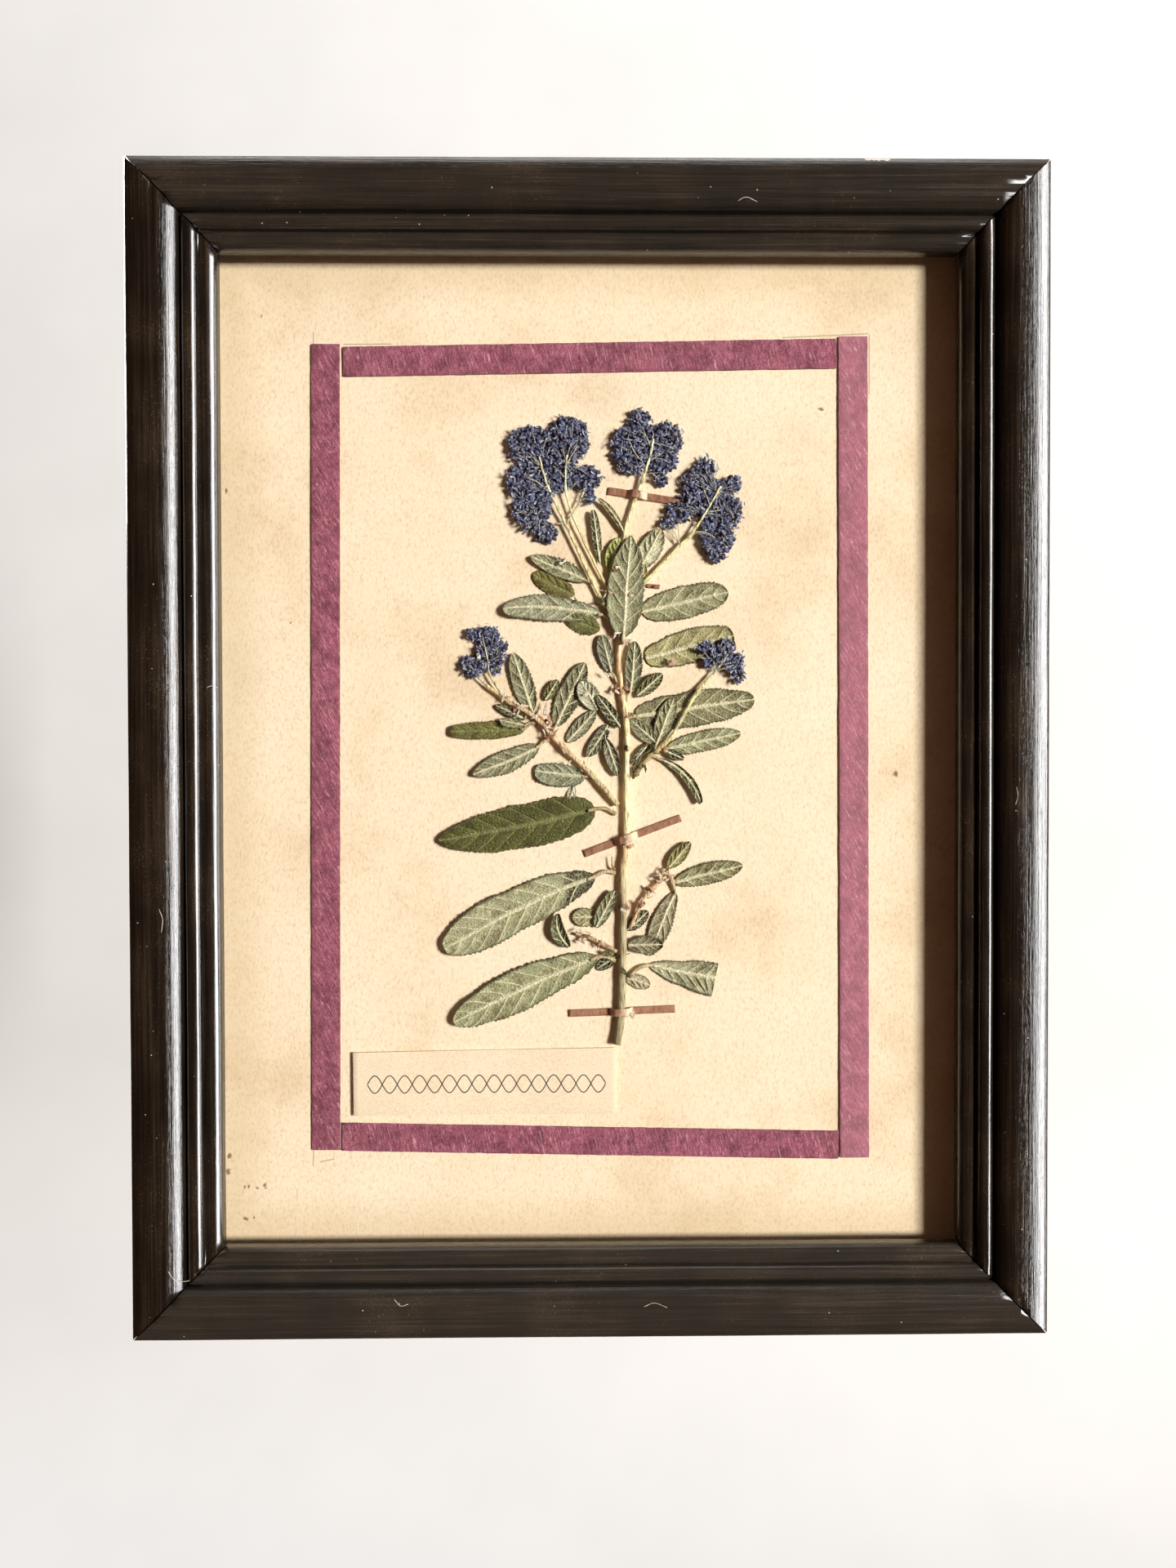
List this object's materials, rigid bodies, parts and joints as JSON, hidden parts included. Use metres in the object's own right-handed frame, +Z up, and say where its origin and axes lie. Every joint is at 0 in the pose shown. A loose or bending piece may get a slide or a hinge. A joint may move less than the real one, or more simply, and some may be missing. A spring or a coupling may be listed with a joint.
{
  "type": "pressed flower frame",
  "caption": "Glazed and moulded black wooden frame that shows a dried flowering sprig strapped to a cream card, with a paper border and a small label card.",
  "frame": {"origin": "centre of the object's box, hanger included", "axes": "+X to the right seen from the front, +Y from the front to the wall, +Z up as it hangs"},
  "size_m": [0.214, 0.0222, 0.274],
  "materials": {
    "black_lacquer": "satin",
    "picture_glass": "polished",
    "aged_card": "matte",
    "grey_board": "matte",
    "brass_plate": "satin",
    "bright_steel": "satin",
    "purple_paper": "matte",
    "brown_gummed_paper": "matte",
    "label_card_stock": "matte",
    "dried_stem": "matte",
    "leaf_underside": "matte",
    "leaf_upper_side": "matte",
    "dried_buds": "matte"
  },
  "bodies": {
    "root": {"backing_board": "grey_board", "border_strip_bottom": "purple_paper", "border_strip_left": "purple_paper", "border_strip_right": "purple_paper", "border_strip_top": "purple_paper", "brad_bottom": "bright_steel", "brad_left": "bright_steel", "brad_right": "bright_steel", "brad_top": "bright_steel", "flower_head_left": "dried_buds", "flower_head_low_left": "dried_buds", "flower_head_low_right": "dried_buds", "flower_head_middle": "dried_buds", "flower_head_right": "dried_buds", "flower_stalk_left_inner": "dried_stem", "flower_stalk_left_outer": "dried_stem", "flower_stalk_middle": "dried_stem", "flower_stalk_right": "dried_stem", "frame_rail_bottom": "black_lacquer", "frame_rail_left": "black_lacquer", "frame_rail_right": "black_lacquer", "frame_rail_top": "black_lacquer", "glass_pane": "picture_glass", "hanger_nail_left": "bright_steel", "hanger_nail_right": "bright_steel", "hanger_plate": "brass_plate", "label_card": "label_card_stock", "leaf_broken_right": "leaf_underside", "leaf_crown_centre": "leaf_underside", "leaf_crown_left": "leaf_underside", "leaf_crown_right": "leaf_underside", "leaf_crown_upper": "leaf_underside", "leaf_large_lower": "leaf_underside", "leaf_large_middle": "leaf_underside", "leaf_large_upper": "leaf_upper_side", "leaf_left_dark": "leaf_upper_side", "leaf_left_dusty": "leaf_underside", "leaf_left_high": "leaf_underside", "leaf_left_inner": "leaf_underside", "leaf_left_low": "leaf_underside", "leaf_right_curled": "leaf_underside", "leaf_right_high": "leaf_underside", "leaf_right_large": "leaf_underside", "leaf_right_low": "leaf_underside", "leaf_right_small": "leaf_underside", "leaf_stem_left": "leaf_underside", "leaf_stem_right": "leaf_underside", "leaf_twig_inner": "leaf_underside", "leaf_twig_outer": "leaf_underside", "left_branch": "dried_stem", "lower_left_twig": "dried_stem", "lower_right_twig": "dried_stem", "main_stem": "dried_stem", "mount_card": "aged_card", "right_branch": "dried_stem", "strap_lower": "brown_gummed_paper", "strap_middle": "brown_gummed_paper", "strap_small": "brown_gummed_paper", "strap_upper": "brown_gummed_paper"}
  },
  "joints": []
}
